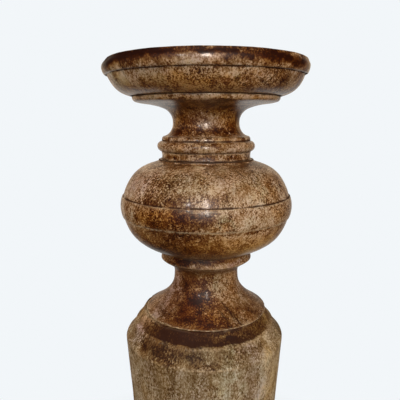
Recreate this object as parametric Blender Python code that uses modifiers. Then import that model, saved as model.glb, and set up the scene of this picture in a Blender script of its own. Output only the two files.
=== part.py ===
"""A turned marble pedestal column that stands by its own weight.

Six turned pieces are bedded one on another, from the floor up: base, shaft, flared foot,
bulb, neck and top plate. Each is one profile turned about its own axis.
"""

from math import atan, cos, hypot, pi, radians, sin, tan

import bpy

# Metres, +Z up. The floor is z = 0 and the Z axis is the axis of the base and the shaft.
FACETS = 48
JOINT = 0.0003
STACK_SHIFT = 0.0028
ARRIS = 0.0010

# Base: a round plinth, a torus, a hollow and an astragal that carries the shaft.
PLINTH_RADIUS = 0.160
PLINTH_HEIGHT = 0.053
PLINTH_EASE = 0.003
BASE_TORUS_SEAT = 0.137
BASE_TORUS_SWELL = 0.013
BASE_TORUS_HEIGHT = 0.042
BASE_LIST_RADIUS = 0.134
BASE_LIST_HEIGHT = 0.009
BASE_HOLLOW_HEIGHT = 0.070
BASE_HOLLOW_FORM = ((0, 0.6), (0.4, 0.92))
ASTRAGAL_SWELL = 0.007
ASTRAGAL_HEIGHT = 0.016

# Shaft: a cone under the flared foot, a shoulder, and a long taper down to the base.
SHAFT_FOOT_RADIUS = 0.0965
SHAFT_RADIUS = 0.1248
TAPER_HEIGHT = 0.3914
CREASE_EASE = 0.0015
SHOULDER_HEIGHT = 0.0243
SHOULDER_RADIUS = 0.1084
SHOULDER_FORM = ((0.22, 0.28), (0.68, 0.91))
NOTCH = 0.0016
CONE_HEIGHT = 0.0171
CONE_RADIUS = 0.0953

# Flared foot: a lip, a bell, a throat and the cuff that carries the bulb.
LIP_RADIUS = 0.0943
LIP_HEIGHT = 0.0022
BELL_HEIGHT = 0.0519
BELL_FORM = ((0, 0.51), (0.59, 0.77))
THROAT_RADIUS = 0.0500
THROAT_HEIGHT = 0.0085
UNDERCUT_HEIGHT = 0.0191
UNDERCUT_FORM = ((0.45, 0.33), (1, 0.60))
CUFF_RADIUS = 0.0703
CUFF_FLARE = 0.0022
CUFF_HEIGHT = 0.0152

# Bulb: a flattened ball with a raised band round its widest part.
BULB_FOOT_RADIUS = 0.0712
BULB_RADIUS = 0.1255
BULB_BOWL_HEIGHT = 0.0533
BULB_BOWL_FORM = ((0.15, 0.54), (0.38, 0.77))
BAND_SWELL = 0.0046
BAND_STEP = 0.0016
BAND_HEIGHT = 0.0312
BULB_CAP_HEIGHT = 0.0510
BULB_CAP_FORM = ((0.28, 0.13), (0.76, 0.12))
CROWN_RADIUS = 0.0718
CROWN_HEIGHT = 0.0023

# Neck: a collar, a torus and a bead under a hollow waist, and the flange under the plate.
COLLAR_RADIUS = 0.0674
COLLAR_HOLLOW = 0.0008
COLLAR_HEIGHT = 0.0112
NECK_TORUS_SEAT = 0.0660
NECK_TORUS_SWELL = 0.0074
NECK_TORUS_HEIGHT = 0.0156
GROOVE_WIDTH = 0.0006
BEAD_SEAT = 0.0640
BEAD_FLARE = 0.0022
BEAD_SWELL = 0.0010
BEAD_HEIGHT = 0.0062
WAIST_RADIUS = 0.0498
WAIST_HEIGHT = 0.0184
WAIST_FORM = ((0, 0.46), (0.48, 1))
NECK_HOLLOW_HEIGHT = 0.0303
NECK_HOLLOW_FORM = ((0.71, 0.165), (1, 0.305))
HOLLOW_RADIUS = 0.1022
FLANGE_RADIUS = 0.1090
FLANGE_BATTER = 0.0034
FLANGE_HEIGHT = 0.0082

# Top plate: a swelling rim over a bowl, flat on top.
PLATE_BOWL_HEIGHT = 0.0290
PLATE_BOWL_FORM = ((0.21, 0.50), (0.40, 0.865))
BOWL_FOOT_LIP = 0.0010
QUIRK_DEPTH = 0.0038
RIM_HEIGHT = 0.0215
RIM_SWELL = 0.0030
RIM_EASE = 0.0035
PLATE_RADIUS = 0.1502

# A quarter round's rise, as a share of the straight line between its ends.
QUARTER = tan(pi / 8) / 2


def arc(start, end, rise, count):
    """Points after start on the circular arc to end whose middle stands rise proud of the line."""
    across, down = end[0] - start[0], end[1] - start[1]
    line = hypot(across, down)
    half = 2 * atan(2 * rise / line)
    points = []
    for step in range(1, count + 1):
        turn = half * (2 * step / count - 1)
        along = 0.5 + 0.5 * sin(turn) / sin(half)
        proud = 0.5 * (cos(turn) - cos(half)) / sin(half)
        points.append((start[0] + along * across - proud * down, start[1] + along * down + proud * across))
    return points


def quarter_round(start, end, count):
    """Points after start on a quarter circle to end that bulges out of the stone."""
    return arc(start, end, QUARTER * hypot(end[0] - start[0], end[1] - start[1]), count)


def sweep(start, end, form, count):
    """Points after start on the smooth curve to end.

    The form holds the point that the curve leaves towards and the one that it arrives from. Each
    is a share of the way across and down from start to end, so the form stays when an end moves.
    """
    lead, follow = form
    across, down = end[0] - start[0], end[1] - start[1]
    points = []
    for step in range(1, count + 1):
        t = step / count
        near, far = 3 * t * (1 - t) ** 2, 3 * t * t * (1 - t)
        points.append(
            (
                start[0] + across * (near * lead[0] + far * follow[0] + t**3),
                start[1] + down * (near * lead[1] + far * follow[1] + t**3),
            )
        )
    return points


def base_profile():
    """The hidden foot of the column: a plainer echo of the mouldings above it."""
    torus_foot = PLINTH_HEIGHT
    torus_top = torus_foot + BASE_TORUS_HEIGHT
    list_top = torus_top + BASE_LIST_HEIGHT
    hollow_top = list_top + BASE_HOLLOW_HEIGHT
    top = hollow_top + ASTRAGAL_HEIGHT
    seat = SHAFT_FOOT_RADIUS + ARRIS
    side = PLINTH_RADIUS - PLINTH_EASE
    points = [(0, top), (seat, top)]
    points += arc((seat, top), (seat, hollow_top), ASTRAGAL_SWELL, 4)
    points += sweep((seat, hollow_top), (BASE_LIST_RADIUS, list_top), BASE_HOLLOW_FORM, 5)
    points += [(BASE_LIST_RADIUS, torus_top), (BASE_TORUS_SEAT, torus_top)]
    points += arc((BASE_TORUS_SEAT, torus_top), (BASE_TORUS_SEAT, torus_foot), BASE_TORUS_SWELL, 4)
    points += [(side, torus_foot)]
    points += quarter_round((side, torus_foot), (PLINTH_RADIUS, torus_foot - PLINTH_EASE), 2)
    points += [(PLINTH_RADIUS, ARRIS), (PLINTH_RADIUS - ARRIS, 0), (0, 0)]
    return points


def shaft_profile():
    """A cone and a rounded shoulder over a long straight taper."""
    shoulder_foot = TAPER_HEIGHT
    notch = shoulder_foot + SHOULDER_HEIGHT
    top = notch + CONE_HEIGHT
    crease_in = SHAFT_RADIUS - CREASE_EASE * SHOULDER_RADIUS / SHAFT_RADIUS
    points = [(0, top), (CONE_RADIUS, top), (SHOULDER_RADIUS - 2 * NOTCH, notch)]
    points += [(SHOULDER_RADIUS, notch - NOTCH)]
    points += sweep(points[-1], (crease_in, shoulder_foot + CREASE_EASE), SHOULDER_FORM, 4)
    points += [(SHAFT_RADIUS, shoulder_foot - CREASE_EASE)]
    points += [(SHAFT_FOOT_RADIUS, ARRIS), (SHAFT_FOOT_RADIUS - ARRIS, 0), (0, 0)]
    return points


def foot_profile():
    """A flared cuff, undercut to a narrow throat, and a bell that ends in a thin lip."""
    bell_foot = LIP_HEIGHT
    throat_foot = bell_foot + BELL_HEIGHT
    throat_top = throat_foot + THROAT_HEIGHT
    cuff_foot = throat_top + UNDERCUT_HEIGHT
    top = cuff_foot + CUFF_HEIGHT
    brim = LIP_RADIUS - LIP_HEIGHT
    points = [(0, top), (CUFF_RADIUS - CUFF_FLARE, top), (CUFF_RADIUS, cuff_foot + ARRIS)]
    points += [(CUFF_RADIUS - ARRIS, cuff_foot)]
    points += sweep(points[-1], (THROAT_RADIUS, throat_top), UNDERCUT_FORM, 5)
    points += [(THROAT_RADIUS, throat_foot)]
    points += sweep((THROAT_RADIUS, throat_foot), (brim, bell_foot), BELL_FORM, 6)
    points += quarter_round((brim, bell_foot), (LIP_RADIUS, 0), 2)
    points += [(0, 0)]
    return points


def bulb_profile():
    """A cap and a bowl, with the raised band between them."""
    band_foot = BULB_BOWL_HEIGHT
    band_top = band_foot + BAND_HEIGHT
    cap_top = band_top + BULB_CAP_HEIGHT
    top = cap_top + CROWN_HEIGHT
    band_edge = BULB_RADIUS + BAND_STEP
    points = [(0, top), (CROWN_RADIUS, top), (CROWN_RADIUS, cap_top)]
    points += sweep((CROWN_RADIUS, cap_top), (BULB_RADIUS, band_top), BULB_CAP_FORM, 6)
    points += [(band_edge, band_top)]
    points += arc((band_edge, band_top), (band_edge, band_foot), BAND_SWELL - BAND_STEP, 4)
    points += [(BULB_RADIUS, band_foot)]
    points += sweep((BULB_RADIUS, band_foot), (BULB_FOOT_RADIUS, 0), BULB_BOWL_FORM, 6)
    points += [(0, 0)]
    return points


def neck_profile():
    """A flange, a hollow waist, then a bead, a torus and a collar with a groove between each."""
    torus_foot = COLLAR_HEIGHT
    torus_top = torus_foot + NECK_TORUS_HEIGHT
    bead_foot = torus_top + GROOVE_WIDTH
    bead_top = bead_foot + BEAD_HEIGHT
    waist = bead_top + WAIST_HEIGHT
    flange_foot = waist + NECK_HOLLOW_HEIGHT
    top = flange_foot + FLANGE_HEIGHT
    flange_low = FLANGE_RADIUS - FLANGE_BATTER
    points = [(0, top), (FLANGE_RADIUS, top), (flange_low, flange_foot + ARRIS)]
    points += [(HOLLOW_RADIUS, flange_foot)]
    points += sweep((HOLLOW_RADIUS, flange_foot), (WAIST_RADIUS, waist), NECK_HOLLOW_FORM, 5)
    points += sweep((WAIST_RADIUS, waist), (BEAD_SEAT, bead_top), WAIST_FORM, 3)
    points += arc((BEAD_SEAT, bead_top), (BEAD_SEAT + BEAD_FLARE, bead_foot), BEAD_SWELL, 3)
    points += [(NECK_TORUS_SEAT, torus_top)]
    points += arc((NECK_TORUS_SEAT, torus_top), (NECK_TORUS_SEAT, torus_foot), NECK_TORUS_SWELL, 5)
    points += [(COLLAR_RADIUS, torus_foot - GROOVE_WIDTH)]
    points += arc((COLLAR_RADIUS, torus_foot - GROOVE_WIDTH), (COLLAR_RADIUS, 0), -COLLAR_HOLLOW, 2)
    points += [(0, 0)]
    return points


def plate_profile():
    """A flat top, a swelling rim with a quirk under it, and a bowl down to the neck's flange."""
    top = PLATE_BOWL_HEIGHT + RIM_HEIGHT
    rim = PLATE_RADIUS - RIM_SWELL
    quirk = rim - QUIRK_DEPTH
    foot = FLANGE_RADIUS + BOWL_FOOT_LIP
    points = [(0, top), (rim - RIM_EASE, top)]
    points += quarter_round((rim - RIM_EASE, top), (rim, top - RIM_EASE), 2)
    points += arc((rim, top - RIM_EASE), (rim, PLATE_BOWL_HEIGHT + ARRIS), RIM_SWELL, 3)
    points += [(rim - ARRIS, PLATE_BOWL_HEIGHT), (quirk, PLATE_BOWL_HEIGHT)]
    points += sweep((quirk, PLATE_BOWL_HEIGHT), (foot, 0), PLATE_BOWL_FORM, 5)
    points += [(0, 0)]
    return points


def marble(name, colour, roughness):
    """A polished stone of one colour, given as linear red, green and blue."""
    material = bpy.data.materials.new(name)
    material.use_nodes = True
    shader = material.node_tree.nodes["Principled BSDF"]
    shader.inputs["Base Color"].default_value = (*colour, 1)
    shader.inputs["Roughness"].default_value = roughness
    shader.inputs["Metallic"].default_value = 0
    material.diffuse_color = (*colour, 1)
    return material


def turned(name, profile, across, seat, material, collection):
    """One piece of stone: the profile turned about the piece's own axis, standing on its seat."""
    wire = bpy.data.meshes.new(name + "_profile")
    wire.from_pydata([(r, 0, z) for r, z in profile], [(k, k + 1) for k in range(len(profile) - 1)], [])
    piece = bpy.data.objects.new(name, wire)
    collection.objects.link(piece)
    lathe = piece.modifiers.new("Lathe", "SCREW")
    lathe.steps = FACETS
    lathe.render_steps = FACETS
    lathe.use_merge_vertices = True
    lathe.merge_threshold = 0.00001
    solid = bpy.data.meshes.new_from_object(piece.evaluated_get(bpy.context.evaluated_depsgraph_get()))
    solid.name = name
    solid.shade_smooth()
    solid.set_sharp_from_angle(angle=radians(35))
    solid.materials.append(material)
    piece.modifiers.clear()
    piece.data = solid
    bpy.data.meshes.remove(wire)
    piece.location = (across, 0, seat)
    return piece


def pedestal():
    """Stacks the six pieces from the floor up, each on a thin bed on the one below."""
    collection = bpy.data.collections.new("marble_pedestal_column")
    bpy.context.scene.collection.children.link(collection)
    pieces = (
        ("base", base_profile(), 0, marble("base_marble", (0.20, 0.14, 0.085), 0.32)),
        ("shaft", shaft_profile(), 0, marble("shaft_marble", (0.22, 0.16, 0.10), 0.34)),
        ("flared_foot", foot_profile(), STACK_SHIFT, marble("foot_marble", (0.16, 0.09, 0.045), 0.26)),
        ("bulb", bulb_profile(), STACK_SHIFT, marble("bulb_marble", (0.21, 0.13, 0.07), 0.26)),
        ("neck", neck_profile(), STACK_SHIFT, marble("neck_marble", (0.18, 0.11, 0.06), 0.26)),
        ("top_plate", plate_profile(), STACK_SHIFT, marble("plate_marble", (0.19, 0.11, 0.055), 0.28)),
    )
    seat = 0
    for name, profile, across, material in pieces:
        turned(name, profile, across, seat, material, collection)
        seat += profile[0][1] + JOINT


for leftover in list(bpy.data.objects):
    bpy.data.objects.remove(leftover)
pedestal()
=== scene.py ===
"""Looks of the marble pedestal column: six turned pieces of polished brown marble, seen from the front.

Lengths are in metres unless a name ends in _MM. A place on a turned piece is an azimuth in degrees,
counted to the right from the side that faces the camera (-Y), and a height above the floor.
"""

from math import radians

import bpy
import numpy as np
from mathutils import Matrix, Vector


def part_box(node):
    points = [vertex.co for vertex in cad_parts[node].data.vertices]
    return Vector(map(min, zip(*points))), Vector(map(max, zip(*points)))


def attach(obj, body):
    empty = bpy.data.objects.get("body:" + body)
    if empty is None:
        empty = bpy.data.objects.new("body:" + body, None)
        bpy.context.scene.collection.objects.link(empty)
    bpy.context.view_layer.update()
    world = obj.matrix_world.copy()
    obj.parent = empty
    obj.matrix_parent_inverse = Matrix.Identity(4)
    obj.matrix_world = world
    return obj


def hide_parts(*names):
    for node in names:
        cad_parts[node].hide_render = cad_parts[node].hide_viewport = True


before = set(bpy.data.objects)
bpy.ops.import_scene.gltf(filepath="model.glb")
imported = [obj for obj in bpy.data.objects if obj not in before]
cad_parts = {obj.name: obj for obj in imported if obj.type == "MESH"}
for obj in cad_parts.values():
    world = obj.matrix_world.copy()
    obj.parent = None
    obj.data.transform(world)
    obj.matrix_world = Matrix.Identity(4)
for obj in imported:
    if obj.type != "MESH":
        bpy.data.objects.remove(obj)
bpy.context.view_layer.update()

MM = 0.001
scene = bpy.context.scene


# The turned surfaces

# What counts as a corner of a profile, how its arris is eased, and how fine the rows of the grid lie.
CORNER_TURN = radians(50)
KINK_TURN = radians(12)
KINK_RATIO = 3
ARRIS_EASE = 0.7 * MM
EASE_SHARE = 0.3
ARRIS_STEPS = (0.33, 0.67)
ROW_STEP = 1.35 * MM
LONG_RUN = 60 * MM
LONG_STEP = 3.2 * MM
BED_ROWS = 5
BED_BORDER = 4 * MM
SAME_PLACE = 0.01 * MM

# The hand-worn surface: how far wear and dirt reach from an edge, how deep chips and polish go, and the
# length and height of the waves that the polishing left.
EDGE_REACH = 1.5 * MM
SHARP_TURN = radians(70)
CHIP_DEPTH = 0.9 * MM
CHIP_THRESHOLD = 0.6
POLISHED_OFF = 0.14 * MM
SWELL_LENGTH = 46 * MM
SWELL_HEIGHT = 0.10 * MM
RIPPLE_LENGTH = 13 * MM
RIPPLE_HEIGHT = 0.04 * MM
WAVE_COUNT = 14
WAVE_SCALE = 1.6 / 1.4

# The layers that go with the points. Cloudy ones have wandering outlines, the others keep close to theirs.
CLOUDY = ("tone", "ochre", "grey", "mauve")
LAYERS = (*CLOUDY, "vein", "grime", "wear_and_sheen", "calm")
CLOUDY_DRIFT = 2.6
LINE_DRIFT = 0.5
BELT_DRIFT = 0.3 * MM
CRISP_MM = 0.8


def turned_line(node):
    """The node's profile from top pole to foot pole, as rows of radius and height, and its axis in X.

    It is the chain of mesh edges that lie in the half plane y = 0 on the +X side of the node's axis. A flat
    ring has no such edge, so the chain steps across it, from one loose end to the other at the same height.
    """
    low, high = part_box(node)
    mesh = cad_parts[node].data
    points = np.empty(len(mesh.vertices) * 3, np.float32)
    mesh.vertices.foreach_get("co", points)
    points = points.reshape(-1, 3) - ((low.x + high.x) / 2, (low.y + high.y) / 2, 0)
    corners = np.empty(len(mesh.loops), np.int32)
    mesh.loops.foreach_get("vertex_index", corners)
    corners = corners.reshape(-1, 3)
    near = (np.abs(points[:, 1]) < SAME_PLACE) & (points[:, 0] > 0)
    sides = np.concatenate([corners[:, [0, 1]], corners[:, [1, 2]], corners[:, [2, 0]]])
    sides = sides[near[sides].all(1)]
    places, index = np.unique(np.round(points[:, [0, 2]] / SAME_PLACE), axis=0, return_inverse=True)
    sides = np.unique(np.sort(index.reshape(-1)[sides], 1), axis=0)
    ends = np.nonzero(np.bincount(sides.ravel(), minlength=len(places)) == 1)[0]
    ends = ends[np.argsort(places[ends, 1])]
    sides = np.concatenate([sides, ends[1:-1].reshape(-1, 2)])
    chain = [int(ends[-1])]
    while chain[-1] != ends[0]:
        linked = sides[(sides == chain[-1]).any(1)].ravel().tolist()
        chain.append(next(k for k in linked if k not in chain))
    line = places[chain] * SAME_PLACE
    return np.concatenate([[(0, line[0, 1])], line, [(0, line[-1, 1])]]), (low.x + high.x) / 2


def faired(line):
    """A fine line through the profile's points, each row's way along it, and its real corners.

    At a point on a curve the turn is shared between its two chords by their lengths, as on a circle.
    A point where the profile turns a real corner keeps it, eased by a short parabola. Between two
    points runs a cubic with those directions at its ends. The top bed gets a row just inside its edge,
    so that the marks on the side can end there. A corner is its way along the line and its turn,
    negative for a ridge and positive for a groove.
    """
    chord = np.diff(line, axis=0)
    length = np.hypot(chord[:, 0], chord[:, 1])
    aim = np.unwrap(np.arctan2(chord[:, 1], chord[:, 0]))
    turn = np.diff(aim)
    ratio = np.maximum(length[1:], length[:-1]) / np.minimum(length[1:], length[:-1])
    corner = (np.abs(turn) > CORNER_TURN) | ((np.abs(turn) > KINK_TURN) & (ratio > KINK_RATIO))
    corner = np.concatenate([[True], corner, [True]])
    shared = np.concatenate([[0], aim[:-1] + turn * length[:-1] / (length[:-1] + length[1:]), [0]])
    leave = np.where(corner[:-1], np.where(corner[1:], aim, 2 * aim - shared[1:]), shared[:-1])
    arrive = np.where(corner[1:], np.where(corner[:-1], aim, 2 * aim - shared[:-1]), shared[1:])
    rows, turns, passed = [], [], 0.0
    for k in range(len(chord)):
        ease_in = min(ARRIS_EASE, EASE_SHARE * length[k]) if corner[k] and k else 0
        ease_out = min(ARRIS_EASE, EASE_SHARE * length[k]) if corner[k + 1] and k + 1 < len(chord) else 0
        step = LONG_STEP if length[k] > LONG_RUN else ROW_STEP
        count = BED_ROWS if k in (0, len(chord) - 1) else max(2, round(length[k] / step))
        t = np.linspace(ease_in / length[k], 1 - ease_out / length[k], count + 1)[:, None]
        if k == 0:
            t[-2] = 1 - BED_BORDER / length[k]
        start = length[k] * np.array([[np.cos(leave[k]), np.sin(leave[k])]])
        end = length[k] * np.array([[np.cos(arrive[k]), np.sin(arrive[k])]])
        curve = (
            (2 * t**3 - 3 * t**2 + 1) * line[k] + (t**3 - 2 * t**2 + t) * start
            + (3 * t**2 - 2 * t**3) * line[k + 1] + (t**3 - t**2) * end
        )
        if rows and corner[k]:
            before, after = rows[-1][-1], curve[0]
            u = np.array(ARRIS_STEPS)[:, None]
            rows.append((1 - u) ** 2 * before + 2 * u * (1 - u) * line[k] + u**2 * after)
            turns.append((passed, leave[k] - arrive[k - 1]))
        rows.append(curve if not rows or corner[k] else curve[1:])
        passed += length[k]
    rows = np.concatenate(rows)
    rows[[0, -1], 0] = 0
    along = np.concatenate([[0], np.cumsum(np.hypot(*np.diff(rows, axis=0).T))])
    along *= passed / along[-1]
    return rows, along, turns


def waves(place, size, seed):
    """A smooth random field between about -1 and 1: sine waves of one length in random directions."""
    draw = np.random.default_rng(seed)
    aim = draw.normal(size=(WAVE_COUNT, 3))
    aim /= np.linalg.norm(aim, axis=1, keepdims=True)
    phase = draw.uniform(0, 2 * np.pi, WAVE_COUNT)
    field = np.zeros(place.shape[:-1])
    for k in range(WAVE_COUNT):
        field += np.sin(place @ aim[k] * (2 * np.pi / size) + phase[k])
    return field * WAVE_SCALE / WAVE_COUNT**0.5


def turn_from(at, azimuth):
    """The degrees from one azimuth round to others, between -180 and 180."""
    return np.mod(azimuth - at + 180, 360) - 180


def spot(azimuth, height, radius, at, level, half_width, half_height, tilt=0):
    """A round-edged spot: one in its middle, a half at its half width and height in mm, then nothing."""
    across = np.radians(turn_from(at, azimuth)) * radius
    up = height - level * MM
    turned = radians(tilt)
    u = (across * np.cos(turned) + up * np.sin(turned)) / (half_width * MM)
    v = (up * np.cos(turned) - across * np.sin(turned)) / (half_height * MM)
    return 1 / (1 + (u**2 + v**2) ** 2)


def belt(azimuth, height, low, high, at, half_turn):
    """A belt between two heights in mm, crisp at both edges, that fades out towards its two ends."""
    inside = np.clip(np.minimum(height / MM - low, high - height / MM) / CRISP_MM + 0.5, 0, 1)
    off = np.abs(turn_from(at, azimuth)) / half_turn
    return inside / (1 + off**6)


def piece(node, columns, seed, dirty_beds, marks=(), belts=(), pits=(), clean_grooves=()):
    """One stone: the node's profile, faired and turned, with a hand-polished surface that isn't quite true.

    Each row of the grid is a circle about the piece's axis. Every point moves inward along its own normal
    by the sum of long low waves, chips bitten from the arrises, and the pits. The marks and belts in the
    stone, some of which are painted highlights, reflections and shade, the wear on its arrises and the dirt
    in its grooves go with the points, for the marble to read.
    Marks and pits fade out at the edge of the top bed. The dirt at the edges of the top bed and the foot
    bed has amounts of its own, clean grooves are counted from the top and hold no dirt, clean marks take
    dirt away, and dirt lies over wear.
    """
    line, axis = turned_line(node)
    rows, along, turns = faired(line)
    slope = np.gradient(rows, along, axis=0)
    slope /= np.hypot(slope[:, :1], slope[:, 1:])
    out = np.stack([-slope[:, 1], slope[:, 0]], 1)[1:-1]
    ridge, groove = np.zeros(len(rows)), np.zeros(len(rows))
    for k, (way, turn) in enumerate(turns):
        share = min(1, abs(turn) / SHARP_TURN) * np.exp(-(((along - way) / EDGE_REACH) ** 2))
        if turn < 0:
            ridge = np.maximum(ridge, share)
        elif k not in clean_grooves:
            groove = np.maximum(groove, share)
    for way, amount in zip((turns[0][0], turns[-1][0]), dirty_beds):
        groove = np.maximum(groove, amount * np.exp(-(((along - way) / EDGE_REACH) ** 2)))
    ridge, groove = ridge[1:-1, None], groove[1:-1, None]
    off_bed = np.clip(1 + (along - turns[0][0]) / BED_BORDER, 0, 1)[1:-1, None]
    angle = np.linspace(0, 2 * np.pi, columns, endpoint=False)[None, :]
    azimuth = np.degrees(angle)
    radius, height = rows[1:-1, :1], rows[1:-1, 1:]
    round_x, round_y = np.sin(angle), -np.cos(angle)
    place = np.stack(np.broadcast_arrays(radius * round_x, radius * round_y, height), -1)

    bite = waves(place, 17 * MM, seed + 1) + 0.5 * waves(place, 6 * MM, seed + 2)
    bite = np.clip(bite - CHIP_THRESHOLD, 0, 1)
    shift = SWELL_HEIGHT * waves(place, SWELL_LENGTH, seed + 3)
    shift = shift + RIPPLE_HEIGHT * waves(place, RIPPLE_LENGTH, seed + 4)
    shift = np.minimum(shift - POLISHED_OFF, 0) - CHIP_DEPTH * bite * ridge
    for depth, *where in pits:
        shift = shift - depth * MM * off_bed * spot(azimuth, height, radius, *where)

    wander = waves(place, 24 * MM, seed + 5) + 0.5 * waves(place, 9 * MM, seed + 6)
    crumbs = np.clip(0.7 + 0.9 * waves(place, 4.5 * MM, seed + 7), 0, 1.5)
    layers = {name: np.zeros(shift.shape) for name in (*LAYERS, "clean")}
    for name, amount, *where in marks:
        drift = CLOUDY_DRIFT if name in CLOUDY else LINE_DRIFT
        shape = spot(azimuth + drift * wander, height + 0.6 * drift * MM * wander, radius, *where)
        layers[name] += amount * off_bed * shape * (crumbs if name == "wear_and_sheen" else 1)
    for name, amount, *where in belts:
        layers[name] += amount * off_bed * belt(azimuth, height + BELT_DRIFT * wander, *where)
    layers["grime"] = np.maximum(layers["grime"], groove * np.clip(0.8 + 0.5 * wander, 0.35, 1.3))
    layers["grime"] *= 1 - np.clip(layers.pop("clean"), 0, 1)
    layers["wear_and_sheen"] = np.maximum(layers["wear_and_sheen"], ridge * (0.3 + 0.7 * np.clip(bite * 2, 0, 1)))
    layers["wear_and_sheen"] *= 1 - np.clip(1.5 * layers["grime"], 0, 1)

    lathe = radius + shift * out[:, :1], height + shift * out[:, 1:]
    points = np.stack([axis + lathe[0] * round_x, lathe[0] * round_y, lathe[1]], -1)
    return closed_mesh(node, points, axis, rows[0, 1], rows[-1, 1], layers)


def closed_mesh(node, points, axis, top, foot, layers):
    """The grid of rings as a closed mesh: quads between the rings and a fan to a pole at each end."""
    rings, columns = points.shape[:2]
    poles = np.array([[axis, 0, top], [axis, 0, foot]])
    grid = np.arange(rings * columns).reshape(rings, columns)
    after = np.roll(grid, -1, 1)
    quads = np.stack([grid[:-1], grid[1:], after[1:], after[:-1]], -1).reshape(-1, 4)
    first = np.full(columns, rings * columns)
    lids = [np.stack([first, grid[0], after[0]], 1), np.stack([first + 1, after[-1], grid[-1]], 1)]
    corners = np.concatenate([quads.ravel(), lids[0].ravel(), lids[1].ravel()])
    sizes = np.concatenate([np.full(len(quads), 4), np.full(2 * columns, 3)])
    mesh = bpy.data.meshes.new("fine_" + node)
    mesh.vertices.add(rings * columns + 2)
    mesh.vertices.foreach_set("co", np.concatenate([points.reshape(-1, 3), poles]).ravel())
    mesh.loops.add(len(corners))
    mesh.loops.foreach_set("vertex_index", corners)
    mesh.polygons.add(len(sizes))
    mesh.polygons.foreach_set("loop_start", np.concatenate([[0], np.cumsum(sizes)[:-1]]))
    mesh.update(calc_edges=True)
    mesh.shade_smooth()
    for name, layer in layers.items():
        attribute = mesh.attributes.new(name, "FLOAT", "POINT")
        attribute.data.foreach_set("value", np.append(layer.ravel(), (0, 0)).astype(np.float32))
    stone = bpy.data.objects.new("fine_" + node, mesh)
    scene.collection.objects.link(stone)
    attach(stone, "root")
    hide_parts(node)
    return stone


# The marble

# Six browns each, from the darkest specks to the palest crystals: the plate and the bulb, the neck and the
# foot, and the dulled shaft and base. The tints are what the stone shifts to in places.
BROWN = ("280900", "4a1f00", "6c411a", "906a40", "b59370", "d4bda4")
UMBER = ("260800", "451a00", "633710", "845b2d", "a68460", "c8ad92")
DULLED = ("2a0e00", "533412", "765833", "977f5c", "bba88d", "dacdb9")
GOLDEN_TINT = "ffe3a2"
MAUVE_TINT = "e8dcfa"
GREY_TINT = "dceae4"
DIRT = "361602"
BARE_STONE_AND_SHEEN = "c8ae8a"

# Sizes of the pattern. The real grain is finer than a millimetre, too fine to show from this far, so it is
# drawn about as coarse as one pixel of the photo.
CLOUD_MM = 20
SWIRL_MM = 34
SWIRL_PULL_MM = 26
BUSY_MM = 26
SPECK_MM = 2.2
CRYSTAL_MM = 1.7
CRACK_MM = 30

# How far each part of the pattern moves the tone, where the whole ramp of browns is 1, and how strongly
# the mauve and the grey green may come in.
SPECK_SHARE = 2.3
CRYSTAL_SHARE = 0.4
MARK_SHARE = 0.30
MAUVE_SHARE = 0.3
GREY_SHARE = 0.35

# A colour mix's sockets go by number, because it has several of each name.
MIX_A = 6
MIX_B = 7
MIX_RESULT = 2


def linear(code):
    """An sRGB hex colour such as 8a6a3c as linear red, green, blue and alpha."""
    shown = np.array([int(code[k:k + 2], 16) / 255 for k in (0, 2, 4)])
    light = np.where(shown <= 0.04045, shown / 12.92, ((shown + 0.055) / 1.055) ** 2.4)
    return (*light.tolist(), 1.0)


def add(tree, kind, values=None, links=None, **settings):
    """Adds a node of a kind, with its settings, the values of its sockets and the links into them."""
    node = tree.nodes.new("ShaderNode" + kind)
    for name, value in settings.items():
        setattr(node, name, value)
    for socket, value in (values or {}).items():
        node.inputs[socket].default_value = value
    for socket, source in (links or {}).items():
        tree.links.new(source, node.inputs[socket])
    return node


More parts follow.
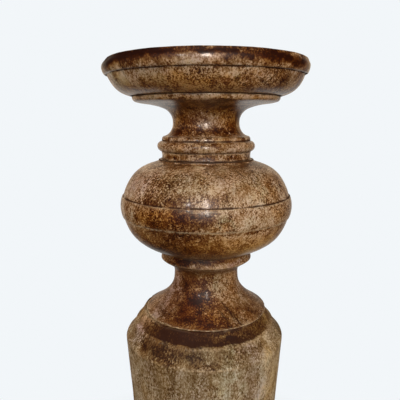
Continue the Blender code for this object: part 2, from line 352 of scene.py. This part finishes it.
def polished_marble(name, tones, move, clouds, grain_share, lift=0.0, golden=0.4, wax=0.25, rough=0.28,
                    lay=0, drawn=1.3):
    """Brown mottled marble, sawn, turned and wax-polished.

    To the eye: clouds of light and dark brown 20 to 40 mm across, drawn out along the upright bed of the
    stone, that shift to ochre, mauve and grey green; a salt-and-pepper grain that is busy in some places
    and calm in others; a few dark hair veins; and dirt held in the grooves. The polish gives small
    highlights in a soft glow, and dirt dulls it. lift lightens the stone, clouds and grain_share set the
    contrast of the clouds and the grain, golden is the share of ochre, wax the coat over the stone, rough
    how dull it is under the wax, lay the lean of its bed in degrees and drawn how far it is drawn out.
    """
    material = bpy.data.materials.new(name)
    material.use_nodes = True
    tree = material.node_tree
    shader = tree.nodes["Principled BSDF"]
    coordinates = add(tree, "TexCoord")
    stone = add(
        tree, "Mapping", {"Location": move, "Rotation": (0, radians(lay), 0), "Scale": (1, 1, drawn)},
        {0: coordinates.outputs["Object"]}, vector_type="TEXTURE",
    ).outputs["Vector"]
    layer = {kind: add(tree, "Attribute", attribute_name=kind).outputs["Fac"] for kind in LAYERS}

    # The clouds, in a space that is bent by a slow swirl.
    swirl = add(tree, "TexNoise", {"Scale": 1 / (SWIRL_MM * MM), "Detail": 3}, {"Vector": stone})
    swirl = add(tree, "VectorMath", {1: (0.5, 0.5, 0.5)}, {0: swirl.outputs["Color"]}, operation="SUBTRACT")
    bent = add(tree, "VectorMath", {1: (SWIRL_PULL_MM * MM,) * 3}, {0: swirl.outputs[0], 2: stone},
               operation="MULTIPLY_ADD").outputs[0]
    cloud = add(tree, "TexNoise", {"Scale": 1 / (CLOUD_MM * MM), "Detail": 3, "Roughness": 0.65},
                {"Vector": bent})

    # The grain, busy or calm: a fine noise and a few crystals that stand out from it.
    busy = add(tree, "TexNoise", {"Scale": 1 / (BUSY_MM * MM), "Detail": 2}, {"Vector": bent})
    busy = add(
        tree, "MapRange",
        {"From Min": 0.38, "From Max": 0.62, "To Min": 0.7 * grain_share, "To Max": 1.3 * grain_share},
        {"Value": busy.outputs["Fac"]},
    )
    lively = add(tree, "Math", {0: 1.0}, {1: layer["calm"]}, operation="SUBTRACT", use_clamp=True)
    busy = add(tree, "Math", None, {0: busy.outputs[0], 1: lively.outputs[0]}, operation="MULTIPLY")
    speck = add(tree, "TexNoise", {"Scale": 1 / (SPECK_MM * MM), "Detail": 2, "Roughness": 0.85},
                {"Vector": stone})
    crystal = add(tree, "TexVoronoi", {"Scale": 1 / (CRYSTAL_MM * MM)}, {"Vector": stone})
    crystal = add(tree, "SeparateXYZ", None, {0: crystal.outputs["Color"]})
    grain = add(tree, "Math", {1: SPECK_SHARE, 2: -0.5 * (SPECK_SHARE + CRYSTAL_SHARE)},
                {0: speck.outputs["Fac"]}, operation="MULTIPLY_ADD")
    grain = add(tree, "Math", {1: CRYSTAL_SHARE}, {0: crystal.outputs[0], 2: grain.outputs[0]},
                operation="MULTIPLY_ADD")

    # The tone is the clouds, the grain and the marks together, and picks one of the browns.
    tone = add(tree, "Math", {1: clouds, 2: 0.5 + lift - 0.5 * clouds}, {0: cloud.outputs["Fac"]},
               operation="MULTIPLY_ADD")
    tone = add(tree, "Math", None, {0: grain.outputs[0], 1: busy.outputs[0], 2: tone.outputs[0]},
               operation="MULTIPLY_ADD")
    tone = add(tree, "Math", {1: MARK_SHARE}, {0: layer["tone"], 2: tone.outputs[0]},
               operation="MULTIPLY_ADD")
    ramp = add(tree, "ValToRGB", None, {0: tone.outputs[0]})
    band = ramp.color_ramp
    for k, code in enumerate(tones):
        stop = band.elements[k] if k < 2 else band.elements.new(1)
        stop.position = k / (len(tones) - 1)
        stop.color = linear(code)
    colour = ramp.outputs["Color"]

    # Fields of ochre, mauve and grey green of a size in mm each, with the marks of their kind.
    for kind, tint, size_mm, share in (
        ("ochre", GOLDEN_TINT, 27, golden),
        ("mauve", MAUVE_TINT, 33, MAUVE_SHARE),
        ("grey", GREY_TINT, 22, GREY_SHARE),
    ):
        field = add(tree, "TexNoise", {"Scale": 1 / (size_mm * MM), "Detail": 3, "Roughness": 0.6},
                    {"Vector": bent})
        field = add(tree, "MapRange", {"From Min": 0.48, "From Max": 0.68, "To Max": share},
                    {"Value": field.outputs["Fac"]})
        field = add(tree, "Math", None, {0: field.outputs[0], 1: layer[kind]}, operation="ADD",
                    use_clamp=True)
        tinted = add(tree, "Mix", {MIX_B: linear(tint)}, {0: field.outputs[0], MIX_A: colour},
                     data_type="RGBA", blend_type="MULTIPLY")
        colour = tinted.outputs[MIX_RESULT]

    # Hair veins where a noise crosses its middle, only in the lighter clouds, and the listed veins.
    crack = add(tree, "TexNoise", {"Scale": 1 / (CRACK_MM * MM), "Detail": 5, "Roughness": 0.6},
                {"Vector": bent})
    crack = add(tree, "Math", {1: 0.5}, {0: crack.outputs["Fac"]}, operation="SUBTRACT")
    crack = add(tree, "Math", None, {0: crack.outputs[0]}, operation="ABSOLUTE")
    crack = add(tree, "MapRange", {"From Min": 0.0, "From Max": 0.010, "To Min": 0.6, "To Max": 0.0},
                {"Value": crack.outputs[0]})
    where = add(tree, "MapRange", {"From Min": 0.50, "From Max": 0.60}, {"Value": cloud.outputs["Fac"]})
    crack = add(tree, "Math", None, {0: crack.outputs[0], 1: where.outputs[0]}, operation="MULTIPLY")
    crack = add(tree, "Math", None, {0: crack.outputs[0], 1: layer["vein"]}, operation="MAXIMUM")
    crack = add(tree, "Mix", {MIX_B: linear(tones[0])}, {0: crack.outputs[0], MIX_A: colour},
                data_type="RGBA")

    # Dirt lies over the stone, and worn edges are bare. The same pale stone also paints one highlight
    # streak, on the bulb's band.
    dirt = add(tree, "MapRange", {"From Min": 0.1, "From Max": 0.7, "To Max": 0.92},
               {"Value": layer["grime"]})
    dirty = add(tree, "Mix", {MIX_B: linear(DIRT)}, {0: dirt.outputs[0], MIX_A: crack.outputs[MIX_RESULT]},
                data_type="RGBA")
    bare_and_sheen = add(tree, "Math", {1: 0.8}, {0: layer["wear_and_sheen"]}, operation="MULTIPLY", use_clamp=True)
    final = add(tree, "Mix", {MIX_B: linear(BARE_STONE_AND_SHEEN)},
                {0: bare_and_sheen.outputs[0], MIX_A: dirty.outputs[MIX_RESULT]}, data_type="RGBA")

    # The polish, duller on busy grain and on dirt, which takes the wax off as well.
    gloss = add(
        tree, "MapRange", {"From Min": 0.3, "From Max": 0.7, "To Min": rough, "To Max": rough + 0.15},
        {"Value": busy.outputs[0]},
    )
    gloss = add(tree, "Math", {1: 0.25}, {0: dirt.outputs[0], 2: gloss.outputs[0]},
                operation="MULTIPLY_ADD")
    coat = add(tree, "MapRange", {"From Min": 0.0, "From Max": 0.5, "To Min": wax, "To Max": 0.0},
               {"Value": dirt.outputs[0]})
    relief = add(tree, "Bump", {"Strength": 0.25, "Distance": 0.15 * MM}, {"Height": speck.outputs["Fac"]})
    tree.links.new(final.outputs[MIX_RESULT], shader.inputs["Base Color"])
    tree.links.new(gloss.outputs[0], shader.inputs["Roughness"])
    tree.links.new(coat.outputs[0], shader.inputs["Coat Weight"])
    tree.links.new(relief.outputs[0], shader.inputs["Normal"])

    # Marble's index is about 1.5. It is a little lower here, as the photo's sheen is weak. The wax is 1.45.
    shader.inputs["IOR"].default_value = 1.43
    shader.inputs["Coat Roughness"].default_value = 0.13
    shader.inputs["Coat IOR"].default_value = 1.45
    return material


# What the photo shows on each stone

# Marks: layer, amount, azimuth, height, half width and half height in mm, and a tilt in degrees. A tone
# mark lightens or darkens, a clean one takes dirt away and a calm one quiets the grain. A half width of
# ROUND goes all the way round. Some marks are painted highlights, reflections and shade, as noted.
ROUND = 900
PLATE_MARKS = (
    # The rim
    ("tone", -1.1, 0, 996, ROUND, 4.5),
    ("grime", 0.6, -67, 996, 22, 4),
    ("tone", -2.0, -64, 995, 22, 5),
    ("tone", 0.8, 57, 995, 14, 4),
    ("tone", -2.2, -50, 995, 66, 7.5),
    ("tone", -1.0, 2, 995, 16, 3.5),
    ("tone", -0.9, -27, 992, 16, 5),
    ("tone", -0.7, 28, 991, 70, 4),
    ("tone", -1.3, -68, 990, 16, 6),
    # Painted highlight: a soft pale glow at the front of the rim, with the light tone mark below.
    ("mauve", 0.4, 1, 988, 20, 6),
    ("calm", 0.45, 0, 988, ROUND, 7),
    ("tone", -1.1, 38, 988, 42, 4.5),
    # Painted highlight, with the mauve mark above.
    ("tone", 0.7, 0, 986, 18, 5),
    ("tone", -1.2, 54, 986, 16, 7),
    ("mauve", 0.6, 57, 985, 16, 8),
    ("grey", 0.6, -62, 985, 20, 8),
    ("tone", -0.6, 46, 982, 14, 4),
    ("tone", 0.6, -10, 982, 55, 3.5),
    ("tone", 0.7, -12, 981, 14, 4),
    ("tone", 0.5, -60, 980, 20, 4.5),
    ("clean", 1.0, -66, 977, 20, 6),
    ("tone", -0.5, 34, 975, 30, 5),
    # The bowl
    ("tone", 0.8, 6, 970, 14, 5),
    ("tone", 0.6, -36, 969, 58, 8),
    ("tone", 0.8, 15, 967, 20, 7),
    ("tone", -0.5, 44, 967, 26, 5),
    ("ochre", 0.4, -16, 967, 34, 7),
    ("tone", -0.6, 41, 967, 30, 7),
    ("grey", 0.7, -56, 966, 22, 9),
    ("tone", -0.9, 15, 965, 5, 4, 25),
    ("grey", 0.7, 15, 965, 7, 5, 25),
    ("vein", 0.5, 31, 963, 20, 0.8, -22),
    ("ochre", 0.5, -10, 962, 90, 8),
    ("mauve", 0.6, 6, 958, 6, 5),
    ("tone", -0.5, 6, 958, 6, 4),
    ("ochre", 0.8, -3, 957, 15, 4.5),
    ("ochre", 0.6, 0, 953, ROUND, 6),
    ("tone", 0.6, -12, 952, 18, 2.5),
)
NECK_MARKS = (
    # The flange
    ("tone", 0.9, 0, 945, ROUND, 3.2),
    ("tone", 0.6, 8, 943, 16, 2.5),
    ("tone", 0.6, -33, 943, 8, 2.5),
    ("tone", 0.9, -12, 943, 10, 2.5),
    # The waist
    # Darker all round under the flange: partly darker stone, partly painted shade.
    ("tone", -0.7, 0, 936, ROUND, 6),
    ("tone", 0.6, 22, 936, 30, 5),
    ("ochre", 0.7, 0, 935, ROUND, 8),
    ("tone", -0.6, 6, 935, 20, 6),
    ("tone", -0.9, 12, 928, 9, 5),
    ("tone", 0.5, -8, 918, 8, 5),
    ("ochre", 0.7, 40, 918, 14, 14),
    ("calm", 0.25, 0, 916, ROUND, 16),
    ("mauve", 0.15, -25, 915, 12, 16),
    ("ochre", 0.5, -30, 914, 16, 14),
    ("tone", -0.4, 32, 912, 7, 5),
    ("tone", 0.6, -26, 910, 8, 5),
    ("ochre", 0.7, 52, 909, 9, 12),
    ("tone", -0.9, -44, 908, 9, 9),
    ("tone", 0.8, 36, 903, 8, 4),
    # Painted shade all round the lower neck, standing in for the plate's shadow.
    ("tone", -1.0, 0, 898, ROUND, 6),
    ("tone", -0.6, -20, 897, 8, 4),
    ("tone", 0.6, 18, 896, 14, 4),
    # The bead and the torus
    ("tone", 0.5, 0, 888, ROUND, 2.5),
    ("tone", 0.5, 0, 873, ROUND, 3.5),
    ("tone", 0.5, -18, 870, 16, 7),
    # The collar
    ("tone", -0.9, -14, 861, 46, 2),
    ("tone", -0.7, -40, 861, 20, 2.5),
)
BULB_MARKS = (
    # Above the band
    ("grime", 0.9, 0, 858.3, ROUND, 1.0),
    # Painted shade all round, just below the collar's foot.
    ("tone", -0.7, 0, 855.5, ROUND, 2.4),
    ("tone", 0.9, -8, 850, 4, 3),
    ("vein", 0.4, 1, 850, 0.9, 4, 40),
    ("vein", 0.7, 27, 846, 1.0, 6, 25),
    ("vein", 0.6, 43, 845, 1.0, 5, 30),
    ("vein", 0.5, 9, 842, 1.0, 7, 62),
    ("vein", 0.5, 35, 838, 1.0, 6, 35),
    ("tone", -0.2, -31, 832, 14, 9, 30),
    ("grey", 0.5, -14, 832, 34, 14),
    ("tone", 0.8, 7, 827, 8, 6, 30),
    ("grey", 0.6, 38, 826, 5, 20),
    # Painted reflection of the bright room: mauve and lighter on the bulb's left flank.
    ("mauve", 0.35, -55, 826, 26, 18),
    ("tone", 0.5, -60, 824, 22, 20),
    ("ochre", 0.5, 47, 824, 9, 12),
    ("tone", 0.45, 34, 815, 26, 9),
    ("wear_and_sheen", 1.6, -12.5, 812.5, 0.9, 6.5, -31),
    ("tone", -0.8, -34, 811, 26, 8, 14),
    ("tone", 0.9, 34, 808, 4, 3),
    # The band
    ("tone", -0.6, -6, 806, 16, 2.2),
    # Painted highlight: a pale streak under the band's top line, on the wear layer.
    ("wear_and_sheen", 0.5, -1, 801.5, 18, 0.8),
    ("tone", -0.9, -4, 797, 22, 5),
    ("tone", -0.6, -45, 793, 10, 6),
    ("ochre", 0.7, -24, 793, 30, 10),
    ("vein", 0.35, 47, 793, 0.7, 8, 12),
    ("tone", 0.3, 45, 792, 18, 9),
    ("vein", 0.35, 42, 791, 0.7, 8, 12),
    # Painted reflection: lighter at the bulb's left flank.
    ("tone", 0.4, -62, 790, 14, 14),
    ("ochre", 0.5, -16, 790, 22, 10),
    ("ochre", 0.5, 48, 790, 12, 12),
    ("mauve", 0.35, -14, 789, 9, 12),
    ("tone", -1.0, -8, 788, 20, 11),
    ("ochre", 0.6, -34, 787, 32, 11),
    ("grey", 0.9, 12, 787, 4, 12),
    ("tone", 0.8, 24, 787, 20, 10),
    ("ochre", 0.5, 6, 784, 7, 11),
    ("tone", -1.0, -27, 781, 22, 8),
    ("tone", 0.5, 42, 779, 24, 4),
    ("wear_and_sheen", 0.6, 36, 778, 3.5, 1.6, 20),
    # Below the band
    ("wear_and_sheen", 1.3, 0, 773.8, ROUND, 0.9),
    ("tone", -0.8, 20, 770.5, 70, 1.6),
    ("tone", -0.8, -24, 769, 26, 6),
    ("tone", 0.8, 44, 764, 30, 12),
    ("ochre", 0.2, 45, 758, 18, 9),
    ("mauve", 0.3, 45, 758, 20, 10),
    ("ochre", 0.7, 0, 752, ROUND, 15),
    ("tone", -0.6, -22, 748, 40, 11),
    ("tone", 0.9, 46, 746, 30, 9),
    ("ochre", 0.6, 0, 740, ROUND, 9),
    ("tone", -0.6, -30, 738, 24, 6),
    ("tone", -1.0, -49, 737, 16, 6),
    ("tone", -1.0, -40, 736, 30, 7),
    ("tone", 1.4, 39, 735, 18, 7),
)
FOOT_MARKS = (
    # The cuff
    ("ochre", 0.6, 0, 719, ROUND, 3),
    ("tone", -1.2, -16, 717, 30, 4),
    ("tone", -0.5, 20, 717, 18, 3),
    ("tone", -0.6, -10, 717, 20, 3),
    ("tone", 0.8, 52, 715, 16, 6),
    ("mauve", 0.8, 36, 710, 7, 7),
    ("tone", -0.6, -28, 710, 14, 4),
    # Painted highlights: the two lamps' spots on the cuff's lower edge.
    ("tone", 1.5, -16, 709.5, 2.4, 2.0),
    ("tone", 1.5, 2, 709.5, 2.4, 2.0),
    ("tone", -0.7, -50, 709, 12, 4),
    ("tone", 0.8, 18, 709, 16, 3.5),
    ("tone", 0.7, 40, 708, 8, 6),
    ("tone", 0.5, 0, 701, ROUND, 2.5),
    ("tone", 0.6, -22, 701, 20, 3),
    ("tone", 0.6, 36, 701, 8, 3),
    # The throat
    ("ochre", 0.5, -20, 694, 40, 6),
    ("tone", -0.5, -40, 684, 12, 8),
    ("tone", 1.0, 17, 680, 6, 11),
    ("grey", 0.8, 17, 679, 8, 12),
    ("tone", 0.8, 54, 678, 10, 14),
    ("tone", -0.9, -4, 677, 5, 8),
    ("tone", 0.8, 7, 671, 7, 6),
    ("tone", 0.8, -20, 670, 6, 6),
    # The bell
    # Painted highlights: the two lamps' specks on the bell.
    ("tone", 1.5, -15.4, 667, 2.2, 2.0),
    ("tone", 1.2, 3, 667, 2.0, 2.0),
    ("tone", -0.7, -38, 666, 14, 9),
    ("tone", 0.7, 20, 660, 8, 14, -20),
    # Painted reflection of the bright room on the bell's left flank, here and in the mauve and grey marks at
    # -58 and -56.
    ("tone", 0.9, -62, 655, 16, 30),
    ("tone", -1.0, -10, 655, 22, 10),
    ("ochre", 0.6, -20, 652, 34, 12),
    ("mauve", 1.0, -58, 650, 24, 34),
    ("grey", 0.6, -56, 648, 20, 24),
    ("tone", 0.6, 46, 648, 14, 16),
    ("tone", -0.7, -30, 645, 14, 14),
    ("tone", 0.6, 47, 644, 8, 9),
    ("tone", -0.6, 16, 641, 12, 12),
    ("vein", 1.0, 27, 641, 1.1, 11, 24),
    ("tone", -0.3, -12, 640, 14, 8),
    ("tone", 0.5, -26, 640, 12, 10),
    ("vein", 0.9, 21, 634, 1.0, 10, 30),
    ("tone", -0.7, -10, 632, 36, 5),
    ("ochre", 0.6, -4, 632, 34, 9),
    ("vein", 0.9, 33, 630, 1.1, 9, 24),
    ("wear_and_sheen", 1.1, 0, 624.0, ROUND, 0.9),
)
SHAFT_MARKS = (
    # The cone under the lip
    ("clean", 0.9, -66, 622.5, 26, 6),
    ("clean", 0.6, 24, 618, 32, 5.5),
    ("tone", -0.8, -24, 618, 26, 5),
    ("tone", 0.4, 40, 618, 28, 5),
    ("tone", 0.8, 19, 617, 10, 4),
    ("ochre", 0.8, 0, 616, ROUND, 8.5),
    # Painted reflection of the bright room at the cone's far left, here and in the mauve mark below.
    ("tone", 1.3, -68, 614, 22, 10),
    ("mauve", 0.8, -66, 614, 24, 12),
    ("tone", -0.7, -4, 610, 60, 4),
    # The shoulder
    ("wear_and_sheen", 0.5, 42, 604.3, 36, 1.3),
    ("wear_and_sheen", 0.2, -38, 604.0, 18, 1.2),
    ("wear_and_sheen", 0.5, 0, 603.5, 30, 1.4),
    ("tone", 0.5, 48, 601, 24, 5),
    ("tone", -1.3, -38, 598, 26, 8),
    # Painted reflection at the shoulder's left flank.
    ("mauve", 0.4, -60, 598, 20, 14),
    ("ochre", 0.4, -32, 598, 16, 10),
    ("grey", 0.6, 20, 597, 10, 9),
    ("grey", 0.5, -4, 596, 34, 9),
    ("tone", -0.6, 44, 596, 24, 4),
    ("mauve", 0.35, 37, 594, 16, 12),
    ("tone", -0.9, -2, 592, 34, 8),
    ("tone", -0.6, -42, 590, 22, 8),
    ("tone", -0.7, -28, 586, 12, 5),
    ("tone", -0.6, 0, 585, 26, 2.5),
    # The taper
    ("wear_and_sheen", 0.8, 4, 580.5, 40, 1.0),
    ("tone", 0.6, 50, 578, 14, 4),
    ("tone", 0.6, 12, 560, 15, 22),
    ("tone", 0.5, 0, 560, 14, 16),
    ("grey", 0.55, 12, 556, 17, 30),
    ("tone", 0.55, 24, 556, 13, 26),
    # Painted reflection: lighter at the taper's left flank.
    ("tone", 0.5, -58, 555, 26, 40),
    ("mauve", 0.3, 33, 545, 10, 60),
    ("tone", 0.6, 48, 545, 26, 60),
    ("tone", -0.4, -45, 545, 10, 30),
    ("ochre", 0.4, 52, 530, 14, 60),
    ("tone", 0.8, 68, 530, 26, 70),
    ("ochre", 0.4, 66, 530, 26, 70),
    ("tone", 0.35, 0, 520, ROUND, 40),
)

# The dark cone under the lip, down to its crease: layer, amount, lower and upper height in mm, the azimuth
# of its middle and the degrees from there to where it has half faded out.
SHAFT_BELTS = (
    ("tone", -1.3, 606.0, 626, 1, 62),
    ("grime", 0.5, 606.0, 626, 1, 62),
)

# Chips in the plate's rim and pits in the shoulder: depth in mm, azimuth, height, half width and half
# height in mm.
PLATE_PITS = (
    (2.4, 92, 984, 52, 9),
    (2.2, -84, 1000, 60, 5),
)
SHAFT_PITS = (
    (1.4, -60, 605.4, 2.6, 2.0),
    (1.2, 17, 604, 1.8, 1.8),
)

plate = piece("top_plate", columns=600, seed=10, dirty_beds=(0, 0.7), marks=PLATE_MARKS, pits=PLATE_PITS)
neck = piece("neck", columns=400, seed=20, dirty_beds=(0.5, 0.8), marks=NECK_MARKS)
bulb = piece("bulb", columns=540, seed=30, dirty_beds=(0.3, 0.8), marks=BULB_MARKS, clean_grooves=(1, 5))
foot = piece("flared_foot", columns=480, seed=40, dirty_beds=(0.8, 0), marks=FOOT_MARKS)
shaft = piece(
    "shaft", columns=480, seed=50, dirty_beds=(0.9, 0.8), marks=SHAFT_MARKS, belts=SHAFT_BELTS,
    pits=SHAFT_PITS, clean_grooves=(1,),
)
base = piece("base", columns=320, seed=60, dirty_beds=(0.7, 0.5))

# The upper stones have kept their polish and wax, the foot less of both, and the shaft and base are dull.
for stone, slot, marble in (
    (plate, "plate_marble", dict(
        tones=BROWN, move=(0.0, 0.0, 0.0), lift=0.11, clouds=1.9, grain_share=1.06, golden=0.6, wax=0.45,
        rough=0.36,
    )),
    (neck, "neck_marble", dict(
        tones=UMBER, move=(0.4, 0.1, 0.3), lift=0.11, clouds=2.3, grain_share=1.2, golden=0.8, wax=0.35,
    )),
    (bulb, "bulb_marble", dict(
        tones=BROWN, move=(0.9, 0.7, 0.2), lift=0.11, clouds=1.4, grain_share=1.05, golden=0.25, lay=38,
    )),
    (foot, "foot_marble", dict(
        tones=UMBER, move=(1.3, 0.2, 0.8), clouds=1.6, grain_share=0.85, wax=0.14, rough=0.42, lay=-30,
    )),
    (shaft, "shaft_marble", dict(
        tones=DULLED, move=(1.7, 1.1, 0.5), clouds=1.2, grain_share=0.8, wax=0.0, rough=0.60, drawn=1.8,
    )),
    (base, "base_marble", dict(
        tones=DULLED, move=(2.1, 0.6, 1.4), clouds=1.2, grain_share=0.8, wax=0.0, rough=0.60,
    )),
):
    stone.data.materials.append(polished_marble("polished_" + slot, **marble))


# Camera, floor and light

# The camera that was fitted to the turned edges in the photo. Its focal length and the column's place
# beside the middle are in the photo's pixels.
LENS_PX = 442
PHOTO_PX = 400
SENSOR_MM = 36
CAMERA_BACK = 0.671
CAMERA_HEIGHT = 0.9171
PITCH_DOWN = radians(10.37)
AXIS_RIGHT_PX = 4.3
CLIP_START = 0.02

view = bpy.data.cameras.new("photo_view")
view.sensor_width = SENSOR_MM
view.lens = SENSOR_MM * LENS_PX / PHOTO_PX
view.shift_x = -AXIS_RIGHT_PX / PHOTO_PX
view.clip_start = CLIP_START
camera = bpy.data.objects.new("photo_view", view)
camera.location = (0, -CAMERA_BACK, CAMERA_HEIGHT)
camera.rotation_euler = (radians(90) - PITCH_DOWN, 0, 0)
scene.collection.objects.link(camera)
scene.camera = camera

# The studio is pale to the eye. What the polish mirrors is warm, dim where the direction's share of +Y is
# under DIM_AHEAD and brightest at BRIGHT_BEHIND. The floor's paint throws up warm light, and the paint
# fades into a glow between two distances from the column.
PALE = "f2f6f9"
WARM_GLOW = "f4e0c6"
FLOOR_GLOW = "f8f0e6"
FLOOR_PAINT = "e7e7e7"
WARM_BOUNCE = "8a5a2c"
BRIGHT_BEHIND = 1.0
DIM_AHEAD = 0.60
DIM = 0.02
FLOOR_SHARE = 0.85
FLOOR_RADIUS = 14.0
FLOOR_CORNERS = 96
PAINT_ENDS = 0.35
GLOW_STARTS = 0.75

KEY_AIM = (0, 0, 0.78)
GLINT_AIM = (0, 0, 0.8)
KEY_SIZE = 0.8
WARM_WHITE = "fff8ee"
GLINT_WARM = "fff0e0"


def lamp(name, place, aim, size, power, colour="ffffff", glint=False, tall=1):
    """A soft oval lamp at a place, aimed at a point: its width, its watts and its height in widths.

    A key only lights the stone, and a glint only shines on it.
    """
    light = bpy.data.lights.new(name, "AREA")
    light.shape = "ELLIPSE"
    light.size = size
    light.size_y = size * tall
    light.energy = power
    light.color = linear(colour)[:3]
    holder = bpy.data.objects.new(name, light)
    holder.location = place
    toward = np.array(aim) - np.array(place)
    holder.rotation_euler = (
        float(np.arctan2(np.hypot(toward[0], toward[1]), -toward[2])),
        0,
        float(np.arctan2(-toward[0], toward[1])),
    )
    holder.visible_glossy = glint
    holder.visible_diffuse = not glint
    scene.collection.objects.link(holder)


def mirrored_depth(tree, direction):
    """How bright the studio is to the polish by direction: dim in front of the column, bright behind."""
    parts = add(tree, "SeparateXYZ", None, {0: direction})
    return add(
        tree, "MapRange", {"From Min": DIM_AHEAD, "From Max": BRIGHT_BEHIND, "To Min": DIM},
        {"Value": parts.outputs["Y"]}, interpolation_type="SMOOTHSTEP",
    ).outputs[0]


def studio_light():
    """The world round the column: pale to the camera, and to the polish only bright behind the column."""
    world = bpy.data.worlds.new("studio")
    world.use_nodes = True
    tree = world.node_tree
    tree.nodes.clear()
    direction = add(tree, "TexCoord")
    depth = mirrored_depth(tree, direction.outputs["Generated"])
    seen = add(tree, "Background", {"Color": linear(PALE), "Strength": 1.0})
    mirrored = add(tree, "Background", {"Color": linear(WARM_GLOW)}, {"Strength": depth})
    path = add(tree, "LightPath")
    both = add(tree, "MixShader", None, {
        0: path.outputs["Is Camera Ray"], 1: mirrored.outputs[0], 2: seen.outputs[0],
    })
    add(tree, "OutputWorld", None, {"Surface": both.outputs[0]})
    scene.world = world


def pale_floor():
    """A round floor, painted near the column and aglow further out, where it passes for the pale studio.

    The camera sees grey paint and a pale glow. The stone gets a warm bounce from the paint, and a glow
    that is dim in front of the column and bright behind it.
    """
    rim = np.linspace(0, 2 * np.pi, FLOOR_CORNERS, endpoint=False)
    points = FLOOR_RADIUS * np.stack([np.cos(rim), np.sin(rim), np.zeros(FLOOR_CORNERS)], 1)
    mesh = bpy.data.meshes.new("studio_floor")
    mesh.from_pydata(points.tolist(), [], [list(range(FLOOR_CORNERS))])
    floor = bpy.data.objects.new("studio_floor", mesh)
    scene.collection.objects.link(floor)
    material = bpy.data.materials.new("painted_studio_floor")
    material.use_nodes = True
    tree = material.node_tree
    tree.nodes.clear()
    place = add(tree, "TexCoord").outputs["Object"]
    reach = add(tree, "VectorMath", None, {0: place}, operation="LENGTH")
    away = add(tree, "MapRange", {"From Min": PAINT_ENDS, "From Max": GLOW_STARTS},
               {"Value": reach.outputs["Value"]}, interpolation_type="SMOOTHSTEP")
    course = add(tree, "VectorMath", None, {0: place}, operation="NORMALIZE")
    depth = mirrored_depth(tree, course.outputs[0])
    seen = add(tree, "LightPath").outputs["Is Camera Ray"]
    dimmed = add(tree, "Math", {1: FLOOR_SHARE}, {0: depth}, operation="MULTIPLY")
    strength = add(tree, "Math", None, {0: seen, 1: dimmed.outputs[0]}, operation="MAXIMUM")
    shade = add(tree, "Mix", {MIX_A: linear(WARM_BOUNCE), MIX_B: linear(FLOOR_PAINT)}, {0: seen},
                data_type="RGBA")
    paint = add(tree, "BsdfDiffuse", None, {"Color": shade.outputs[MIX_RESULT]})
    tint = add(tree, "Mix", {MIX_A: linear(FLOOR_GLOW), MIX_B: linear(PALE)}, {0: seen}, data_type="RGBA")
    glow = add(tree, "Emission", None, {"Color": tint.outputs[MIX_RESULT], "Strength": strength.outputs[0]})
    both = add(tree, "MixShader", None, {0: away.outputs[0], 1: paint.outputs[0], 2: glow.outputs[0]})
    add(tree, "OutputMaterial", None, {"Surface": both.outputs[0]})
    mesh.materials.append(material)


lamp("right_key", (1.05, -1.27, 1.60), KEY_AIM, KEY_SIZE, power=18, colour=WARM_WHITE)
lamp("left_key", (-1.60, 0.12, 1.45), KEY_AIM, KEY_SIZE, power=21, colour=WARM_WHITE)
lamp("front_fill", (0.10, -1.5, 1.00), KEY_AIM, KEY_SIZE, power=8, colour=WARM_WHITE)
lamp("near_lamp", (0.01, -1.1, 1.20), GLINT_AIM, size=0.14, power=9.5, colour=GLINT_WARM, glint=True, tall=4)
lamp("side_lamp", (-0.42, -1.0, 1.25), GLINT_AIM, size=0.08, power=1.2, glint=True)
studio_light()
pale_floor()
scene.view_settings.view_transform = "Standard"
